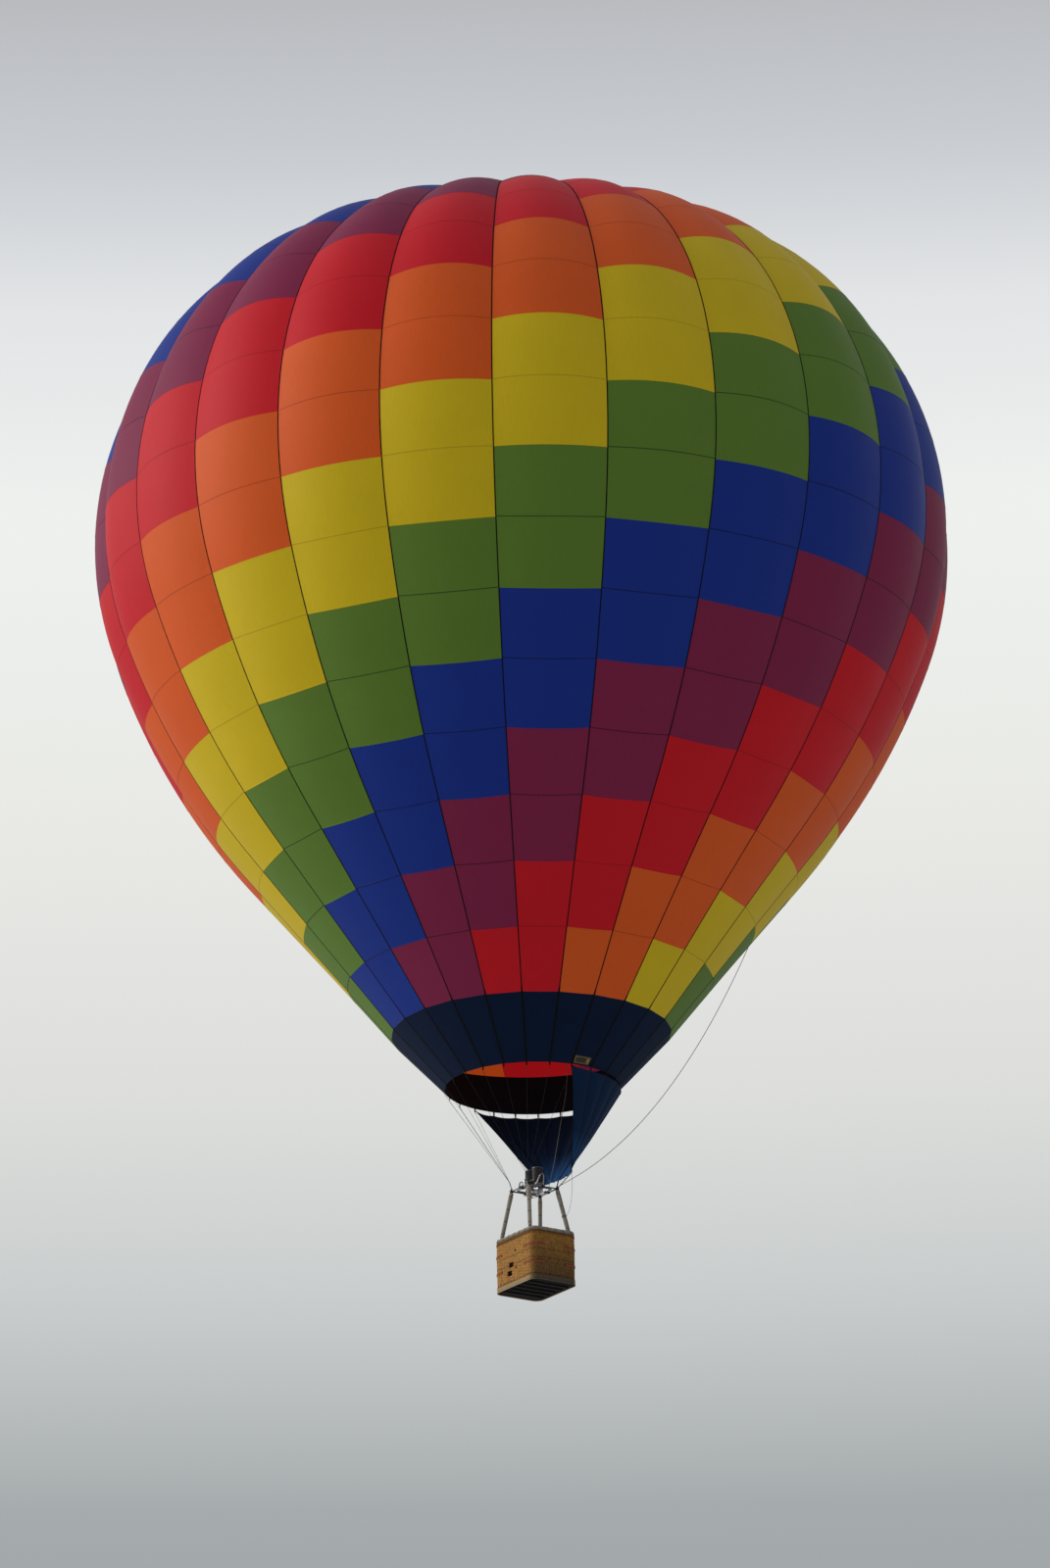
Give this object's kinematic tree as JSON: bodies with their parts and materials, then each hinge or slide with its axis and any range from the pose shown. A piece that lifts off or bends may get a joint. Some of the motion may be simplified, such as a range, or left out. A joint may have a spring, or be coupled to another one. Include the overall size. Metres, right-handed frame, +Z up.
{
  "type": "hot air balloon",
  "caption": "Hot air balloon: gored envelope with mouth band, scoop and vent valve, over a gimballed burner and a wicker basket.",
  "frame": {"origin": "on the envelope's axis at the height of its widest ring, where the air holds it up", "axes": "+Z up along the envelope's axis, +X along the basket's long side, -Y towards the scoop's open side"},
  "size_m": [18.396, 18.396, 24.331],
  "materials": {
    "cloth_red": "coated ripstop nylon, red",
    "cloth_purple": "coated ripstop nylon, plum",
    "cloth_blue": "coated ripstop nylon, blue",
    "cloth_green": "coated ripstop nylon, green",
    "cloth_yellow": "coated ripstop nylon, yellow",
    "cloth_orange": "coated ripstop nylon, orange",
    "cloth_navy": "heat-proof aramid cloth, navy",
    "cloth_valve": "coated ripstop nylon, dark blue",
    "load_tape": "woven polyester load tape",
    "wire": "stranded stainless wire",
    "frame_steel": "dark satin tube",
    "burner_brass": "cast and turned brass, heat stained",
    "can_steel": "heat-stained stainless sheet",
    "sleeve_suede": "grey suede sleeve over foam",
    "rim_suede": "grey suede over a padded roll",
    "wicker": "woven willow cane",
    "floor_ply": "dark stained plywood",
    "rawhide": "sewn rawhide",
    "cylinder_jacket": "padded jacket cloth",
    "strap_webbing": "woven webbing",
    "rope": "braided rope"
  },
  "bodies": {
    "root": {"gore_01": "cloth_yellow", "gore_02": "cloth_green", "gore_03": "cloth_green", "gore_04": "cloth_blue", "gore_05": "cloth_blue", "gore_06": "cloth_purple", "gore_07": "cloth_purple", "gore_08": "cloth_red", "gore_09": "cloth_red", "gore_10": "cloth_orange", "gore_11": "cloth_orange", "gore_12": "cloth_yellow", "gore_13": "cloth_yellow", "gore_14": "cloth_green", "gore_15": "cloth_green", "gore_16": "cloth_blue", "gore_17": "cloth_blue", "gore_18": "cloth_purple", "gore_19": "cloth_purple", "gore_20": "cloth_red", "gore_21": "cloth_red", "gore_22": "cloth_orange", "gore_23": "cloth_orange", "gore_24": "cloth_yellow", "mouth_band": "cloth_navy", "scoop": "cloth_navy", "crown_ring": "load_tape", "suspension_wires_1": "wire", "suspension_wires_2": "wire", "suspension_wires_3": "wire", "suspension_wires_4": "wire", "load_frame": "frame_steel", "pole_1": "sleeve_suede", "pole_2": "sleeve_suede", "pole_3": "sleeve_suede", "pole_4": "sleeve_suede", "rim_pad": "rim_suede", "wicker_wall": "wicker", "floor_board": "floor_ply", "rawhide_hem": "rawhide", "fuel_cylinder_1": "cylinder_jacket", "fuel_cylinder_2": "cylinder_jacket", "fuel_cylinder_3": "cylinder_jacket", "fuel_cylinder_4": "cylinder_jacket", "crown_line": "rope", "strap_1_upper": "strap_webbing", "strap_1_lower": "strap_webbing", "strap_2_upper": "strap_webbing", "strap_2_lower": "strap_webbing", "strap_3_upper": "strap_webbing", "strap_3_lower": "strap_webbing", "strap_4_upper": "strap_webbing", "strap_4_lower": "strap_webbing"},
    "gimbal": {"gimbal_ring": "frame_steel"},
    "burner": {"burner_block": "burner_brass", "burner_can_1": "can_steel", "burner_can_2": "can_steel"},
    "valve": {"parachute_valve": "cloth_valve"}
  },
  "joints": [
    {"name": "gimbal_roll", "type": "hinge", "parent": "root", "child": "gimbal", "pos_m": [0, 0, -14.339], "axis": [1, 0, 0], "range_deg": [-10, 10]},
    {"name": "gimbal_pitch", "type": "hinge", "parent": "gimbal", "child": "burner", "pos_m": [0, 0, -14.339], "axis": [0, 1, 0], "range_deg": [-10, 10]},
    {"name": "valve_drop", "type": "slide", "parent": "root", "child": "valve", "axis": [0, 0, -1], "range_m": [0, 1.2], "stiffness_N_per_m": 150, "springref_m": -0.9}
  ]
}
